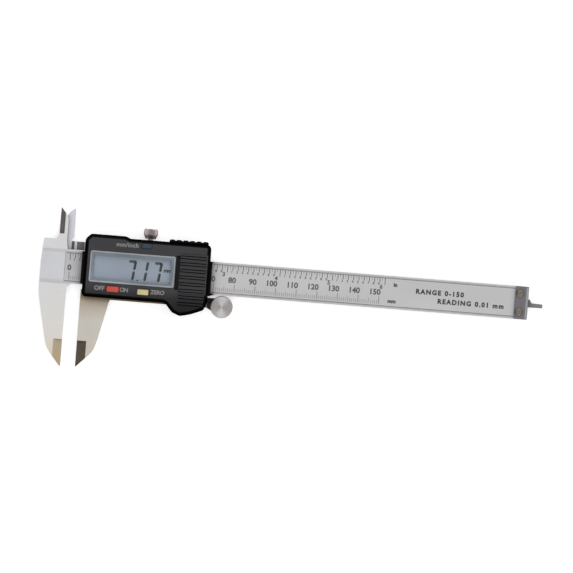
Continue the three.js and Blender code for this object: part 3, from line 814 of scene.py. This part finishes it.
def module_case():
    """The hollow case with its openings, battery bay, lips and the two ribs below the door."""
    skirt_back = CASE[2][0]
    case_back = span("circuit_board", SLIDER)[2][0] - 0.15
    face_back = CASE_FRONT - FACE_WALL
    past_face = CASE_FRONT + BEYOND
    past_right = CASE[0][1] + 7
    past_top = UPPER_EDGE + BEYOND
    wall = 1.0
    outline = case_outline()
    levels = [(skirt_back, 0.0)] + [(CASE_FRONT - depth, distance) for depth, distance in RIM]
    made = as_object("module_case", stack(outline, levels))
    above_skirt = brick((-5, past_right), (LOWER_EDGE - 1, 30), (-5, case_back))
    hollow = slab(inset(outline, wall), skirt_back - BEYOND, face_back)
    window = slab(window_outline(FIT), face_back - BEYOND, past_face)
    button_holes = [slab(button_outline(node, 0.15), face_back - BEYOND, past_face) for node in BUTTONS]
    finger_notch = brick((45.1, 46.8), (-7.0, 9.5), (CASE_FRONT - 1.0, past_face))
    port = brick((43, 55), (UPPER_EDGE - 2, past_top), (6.6, 10.4))
    port_track = brick((PORT[0][0] - FIT, past_right), (PORT[1][0] - FIT, past_top), grown(TONGUE, FIT))
    door = door_opening(face_back)
    cutters = [above_skirt, hollow, window, door, *button_holes, finger_notch, port, port_track]
    carve(made, "DIFFERENCE", *cutters)
    rib_x = (DOOR[0][0] + 0.2, 59.4)
    first = DOOR[1][0] + FIRST_RIB
    ribs = [rib(rib_x, first - step * RIB_PITCH, CASE_FRONT) for step in (1, 2)]
    carve(made, "UNION", battery_tray(face_back), *case_lips(), *ribs)
    soften(made, 0.12, 2, 50)
    finish_piece(made, SLIDER, "slider", BLACK, ["front_cover"])


def battery_door():
    """The ribbed door, whose right edge carries on the case's sloping rim."""
    (left, right), (bottom, top), (back, front) = DOOR
    section = [(left, back), (right, back), (right, back + 0.1), (right - 1.15, front), (left, front)]
    made = as_object("battery_door", prism(section, (top, bottom)))
    first = bottom + FIRST_RIB
    ribs = [rib((left + 0.2, right - 1.8), first + index * RIB_PITCH, front) for index in range(6)]
    carve(made, "UNION", *ribs)
    soften(made, 0.2, 3, 40)
    finish_piece(made, SLIDER, "battery_cover", BLACK, ["battery_cover"])


def port_door():
    """The sliding door over the data port, with rounded teeth for the finger."""
    (left, right), (bottom, top), (back, front) = PORT
    seat = UPPER_EDGE + FIT
    made = as_object("port_door", brick((left, right), (seat, top - 0.4), (back, front)))
    pitch = 3.2
    width = 2.3
    teeth = []
    for index in range(6):
        start = left + 0.3 + index * pitch
        tooth = rounded_outline(rectangle((start, start + width), (top - 1, top), 0.45))
        teeth.append(slab(tooth, back, front))
    carve(made, "UNION", brick((left, right), (bottom, seat + 0.2), TONGUE), *teeth)
    soften(made, 0.22, 3, 40)
    finish_piece(made, SLIDER, "data_port_cover", BLACK, ["data_port_cover"])


# ------------------------------------------------------------------ buttons and display

BUTTONS = {
    "inch_mm_button": (BLUE, "blue_button"),
    "power_button": (RED, "red_button"),
    "zero_button": (CREAM, "cream_button"),
}
BUTTON_FLANGE = 0.35


def button_cap(node, material):
    """A button with its wider flange behind the case's face and its stem."""
    spans = span(node, SLIDER)
    stem_back, top = spans[2]
    x, y = middle_of(spans)
    flange_top = CASE_FRONT - FACE_WALL - FIT
    made = as_object(f"{node}_cap", slab(button_outline(node, 0), flange_top - 0.4, top, 0.35))
    flange = slab(button_outline(node, BUTTON_FLANGE), flange_top - 0.7, flange_top)
    stem = brick((x - 1, x + 1), (y - 0.8, y + 0.8), (stem_back, flange_top - 0.5))
    carve(made, "UNION", flange, stem)
    finish_piece(made, SLIDER, node, material, [node])


def display_bezel():
    """The display's frame, with a pale raised border round it."""
    back, front = span("lcd_bezel", SLIDER)[2]
    x, y, _ = span("lcd_window", SLIDER)
    opening = rounded_outline(rectangle(grown(x, FIT), grown(y, FIT), 0.4))
    inner = inset(window_outline(0), 0.85)
    made = as_object("display_bezel", slab(inner, back, front - 0.25))
    carve(made, "DIFFERENCE", slab(opening, back - BEYOND, front + BEYOND))
    soften(made, 0.1, 2, 60)
    finish_piece(made, SLIDER, "slider", GREY, ["lcd_bezel"])
    border = as_object("display_border", slab(window_outline(0), back, front, 0.2, 3))
    carve(border, "DIFFERENCE", slab(inner, back - BEYOND, front + BEYOND))
    soften(border, 0.1, 2, 60)
    finish_piece(border, SLIDER, "slider", PALE)


TOP_SEGMENT = "top"
UPPER_RIGHT = "upper right"
LOWER_RIGHT = "lower right"
SEGMENTS = {"7": (TOP_SEGMENT, UPPER_RIGHT, LOWER_RIGHT), "1": (UPPER_RIGHT, LOWER_RIGHT)}
DIGIT_HEIGHT = 9.9
DIGIT_WIDTH = 4.1
STROKE = 1.25
LCD_THICK = 0.04


def segment_outline(segment):
    """One segment's corners in an upright digit whose lower left is at the origin."""
    gap = 0.18
    nib = STROKE / 2
    half = DIGIT_HEIGHT / 2
    if segment == TOP_SEGMENT:
        y = DIGIT_HEIGHT - nib
        return [
            (gap, y),
            (nib, y - nib),
            (DIGIT_WIDTH - nib, y - nib),
            (DIGIT_WIDTH - gap, y),
            (DIGIT_WIDTH - nib, y + nib),
            (nib, y + nib),
        ]
    x = DIGIT_WIDTH - nib
    low = half if segment == UPPER_RIGHT else 0
    return [
        (x, low + gap),
        (x + nib, low + nib + gap),
        (x + nib, low + half - nib - gap),
        (x, low + half - gap),
        (x - nib, low + half - nib - gap),
        (x - nib, low + nib + gap),
    ]


def lcd_digits():
    """The reading, 7.17 mm, in slanted seven-segment digits; their top bars are fainter."""
    slant = math.tan(math.radians(7))
    bottom = -4.35
    front = span("lcd_glass", SLIDER)[2][1]
    strong = []
    faint = []
    for right, digit in ((25.7, "7"), (31.6, "1"), (38.2, "7")):
        left = right - DIGIT_WIDTH
        for segment in SEGMENTS[digit]:
            chosen = faint if segment == TOP_SEGMENT else strong
            chosen.append([
                Vector((left + x + (y - DIGIT_HEIGHT / 2) * slant, bottom + y))
                for x, y in segment_outline(segment)
            ])
    strong.append(flat_points(rectangle((26.6, 27.3), (bottom, bottom + 0.7))))
    for name, shapes, material in (("lcd_digits", strong, SEGMENT), ("lcd_top_bars", faint, FAINT)):
        made = as_object(name, merged(*(slab(shape, front, front + LCD_THICK) for shape in shapes)))
        finish_piece(made, SLIDER, "slider", material)


# ------------------------------------------------------------------ printing

CAPITAL_SHARE = 0.7  # a capital's height as a share of the font's size
REGULAR = 0.045  # how far a letter's strokes are grown, as a share of its height
BOLD = 0.07
INK_THICK = 0.02
ZERO_MARK = 0.85  # the scales' zero, to the right of the fixed jaw's face
LAST_MILLIMETRE = 150
INCH = 25.4
LAST_INCH = 6
MARKS_IN_INCH = 20


def lettering(name, items, weight, front, thickness, origin, body, material, slot):
    """Flat words as one piece. Each item is (words, x, y, height, align, spacing)."""
    parts = []
    for words, x, y, height, align, spacing in items:
        data = bpy.data.curves.new("words", "FONT")
        data.body = words
        data.size = height / CAPITAL_SHARE
        data.align_x = align
        data.align_y = "CENTER"
        data.extrude = thickness / 2
        data.offset = weight * height
        data.space_character = spacing
        data.resolution_u = 3
        text = bpy.data.objects.new("words", data)
        bpy.context.scene.collection.objects.link(text)
        bpy.context.view_layer.update()
        graph = bpy.context.evaluated_depsgraph_get()
        flat = bpy.data.meshes.new_from_object(text.evaluated_get(graph))
        flat.transform(Matrix.Translation((x, y, front + thickness / 2)))
        mesh = bmesh.new()
        mesh.from_mesh(flat)
        bmesh.ops.remove_doubles(mesh, verts=mesh.verts, dist=1e-5)
        parts.append(mesh)
        bpy.data.meshes.remove(flat)
        bpy.data.objects.remove(text)
    made = as_object(name, merged(*parts))
    finish_piece(made, origin, body, material)


def bars_on_label(name, bars, material):
    """Printed bars as one piece. Each is ((low x, high x), (low y, high y))."""
    front = span("scale_label", BEAM)[2][1]
    made = as_object(name, merged(*(brick(x, y, (front, front + INK_THICK)) for x, y in bars)))
    finish_piece(made, BEAM, "beam", material)


def mark(x, y, width):
    """The bar of one scale mark, centred on x."""
    return (x - width / 2, x + width / 2), y


def millimetre_marks():
    """Marks up from the label's lower edge, longer at every 5 and every 10."""
    foot = -6.0
    bars = []
    for value in range(LAST_MILLIMETRE + 1):
        top = -4.3
        if value % 5 == 0:
            top = -3.6
        if value % 10 == 0:
            top = -2.4
        bars.append(mark(ZERO_MARK + value, (foot, top), 0.2 if value % 10 else 0.3))
    bars_on_label("millimetre_marks", bars, FINE_INK)


def inch_marks():
    """Marks down from the label's upper edge, longer at every tenth and every inch."""
    top = 6.6
    bars = []
    for step in range(LAST_INCH * MARKS_IN_INCH + 1):
        tenth = step % 2 == 0
        bottom = 4.5 if tenth else 5.4
        if step % MARKS_IN_INCH == 0:
            bottom = 3.4
        x = ZERO_MARK + step * INCH / MARKS_IN_INCH
        bars.append(mark(x, (bottom, top), 0.32 if tenth else 0.16))
    bars_on_label("inch_marks", bars, SCALE_INK)


def scale_numbers():
    """The scales' numbers, and the tenths' small figures between the inches."""
    front = span("scale_label", BEAM)[2][1]
    millimetre_row = (-0.4, 2.6)  # the row's middle and its figures' height
    inch_row = (2.3, 2.0)
    tenth_row = (3.7, 1.1)
    numbers = []
    for value in range(0, LAST_MILLIMETRE + 1, 10):
        overhang = 0.6 if value else 0.9
        numbers.append((str(value), ZERO_MARK + value + overhang, *millimetre_row, "RIGHT", 1.0))
    for value in range(1, LAST_INCH + 1):
        numbers.append((str(value), ZERO_MARK + value * INCH - 1.7, *inch_row, "CENTER", 1.0))
    for tenth in range(LAST_INCH * 10):
        if tenth % 10:
            x = ZERO_MARK + tenth * INCH / 10 - 0.4
            numbers.append((str(tenth % 10), x, *tenth_row, "CENTER", 1.0))
    lettering("scale_numbers", numbers, REGULAR, front, INK_THICK, BEAM, "beam", SCALE_INK, "label")


def label_words():
    """The units at the scales' ends and two generic lines at the label's right."""
    front = span("scale_label", BEAM)[2][1]
    words = [
        ("in", 158.4, 3.7, 1.8, "CENTER", 1.0),
        ("mm", 157.1, -4.3, 1.8, "CENTER", 1.0),
        ("RANGE 0-150", 180.0, 1.4, 2.2, "CENTER", 1.3),
        ("READING 0.01 mm", 195.2, -2.6, 2.2, "CENTER", 1.3),
    ]
    lettering("label_words", words, BOLD, front, INK_THICK, BEAM, "beam", DARK_INK, "label")


def label_border():
    """Thin printed lines along the label's long edges."""
    (left, right), (low, high), _ = span("scale_label", BEAM)
    margin = 0.3
    half = 0.12
    edges = (low + 0.35, high - 0.35)
    bars = [((left + margin, right - margin), (y - half, y + half)) for y in edges]
    bars_on_label("label_border", bars, SCALE_INK)


def legends():
    """The words beside the buttons and the unit in the display."""
    items = [
        ("mm/inch", 21.1, 12.6, 2.0, "CENTER", 1.1),
        ("OFF", 9.1, -9.1, 2.0, "CENTER", 1.0),
        ("ON", 21.0, -9.1, 1.9, "CENTER", 0.85),
        ("ZERO", 37.2, -9.1, 1.9, "CENTER", 0.93),
    ]
    place = (SLIDER, "slider")
    lettering("button_legends", items, REGULAR, CASE_FRONT, INK_THICK, *place, WHITE_INK, "grey_plastic")
    glass = span("lcd_glass", SLIDER)[2][1]
    unit = [("mm", 41.2, 1.75, 1.8, "CENTER", 0.85)]
    lettering("lcd_unit", unit, BOLD, glass, LCD_THICK, *place, SEGMENT, "lcd")


# ------------------------------------------------------------------ roller and screws

def neck_plates():
    """Two thin dark plates on the neck of the moving inside jaw: painted shade where the neck lies in the
    module's shadow.
    """
    y = (8.6, 12.5)
    thick = 0.1
    for name, x, front in (
        ("neck_shade_right", (-3.6, -0.1), 3.14),
        ("neck_shade_left", (-6.1, -4.9), 2.14),
    ):
        made = as_object(name, brick(x, y, (front - thick, front)))
        finish_piece(made, SLIDER, "slider", END_STEEL)


def knurled_roller():
    """A disc with a knurled rim and a turned front, bored from the back for its axle."""
    spans = span("thumb_roller", SLIDER)
    (left, right), _, (back, front) = spans
    radius = (right - left) / 2
    thick = front - back
    bore = 1.35
    cap = 0.06
    profile = [
        (bore, 0),
        (radius - 0.7, 0),
        (radius, 0.5),
        (radius, thick - 0.5),
        (radius - 0.5, thick),
        (0.4, thick),
    ]
    made = as_object("knurled_roller", turned(profile, 144, 0.28, (2, 3)))
    carve(made, "DIFFERENCE", turned([(bore, -BEYOND), (bore, thick - cap)], 48))
    place = SLIDER + Vector((*middle_of(spans), back)) * MM
    finish_piece(made, place, "thumb_roller", ROLLER, ["thumb_roller"], 25)


def screw_slot(radius, top, width, depth):
    """A cutter for the slot across a screw's head."""
    reach = radius + BEYOND
    return brick((-reach, reach), (-width / 2, width / 2), (top - depth, top + BEYOND))


def knurled_lock_screw():
    """A screw across the beam whose knurled head is a barrel that narrows towards the case."""
    (left, right), (bottom, top), (back, front) = span("lock_screw", SLIDER)
    radius = (right - left) / 2
    length = top - bottom
    neck = 1.4
    profile = [
        (neck - 0.3, 0),
        (neck, 0.3),
        (neck, length - 5.0),
        (radius - 0.8, length - 4.9),
        (radius - 0.6, length - 4.2),
        (radius - 0.1, length - 3.2),
        (radius, length - 2.4),
        (radius, length - 0.6),
        (radius - 0.5, length),
    ]
    made = as_object("knurled_lock_screw", turned(profile, 96, 0.24, (4, 5, 6, 7)))
    carve(made, "DIFFERENCE", screw_slot(radius, length, 0.8, 0.8))
    place = SLIDER + Vector(((left + right) / 2, bottom, (back + front) / 2)) * MM
    upright = Matrix.Rotation(-math.pi / 2, 3, "X")
    finish_piece(
        made, place, "lock_screw", LOCK_STEEL, ["lock_screw"], 25, turn=upright,
    )


def end_stop_flange():
    """The brighter strip along the end stop plate's outer edge."""
    (_, right), y, (_, front) = span("end_stop_plate", BEAM)
    strip = brick((right - 1.3, right - 0.1), grown(y, -0.3), (front - 0.1, front + 0.05))
    made = as_object("end_stop_flange", strip)
    soften(made, 0.04)
    finish_piece(made, BEAM, "beam", FLANGE_STEEL)


def end_stop_screw(side):
    """One of the end stop plate's slotted screws, with a domed head turned its own way."""
    node = f"end_stop_screw_{side}"
    spans = span(node, BEAM)
    (left, right), _, (back, front) = spans
    radius = (right - left) / 2
    length = front - back
    shank = 0.9
    head = 0.8
    dome = 0.35
    flat = 0.55 * radius
    profile = [
        (shank - 0.4, 0),
        (shank, 0.4),
        (shank, length - head),
        (radius, length - head),
        (radius, length - dome),
    ]
    steps = 4
    for step in range(1, steps + 1):
        angle = math.pi / 2 * step / steps
        reach = flat + (radius - flat) * math.cos(angle)
        profile.append((reach, length - dome + dome * math.sin(angle)))
    made = as_object(f"{node}_head", turned(profile, 40))
    carve(made, "DIFFERENCE", screw_slot(radius, length, 0.44, 0.45))
    place = BEAM + Vector((*middle_of(spans), back)) * MM
    turn = Matrix.Rotation(math.radians(35 if side == "upper" else -20), 3, "Z")
    finish_piece(made, place, "beam", SCREW, [node], 30, turn=turn)


camera()
floor()
studio()
frame_parts()
module_case()
battery_door()
port_door()
for button_node, (button_material, button_slot) in BUTTONS.items():
    button_cap(button_node, button_material)
display_bezel()
lcd_digits()
millimetre_marks()
inch_marks()
scale_numbers()
label_words()
label_border()
legends()
neck_plates()
knurled_roller()
knurled_lock_screw()
end_stop_flange()
for screw_side in ("upper", "lower"):
    end_stop_screw(screw_side)
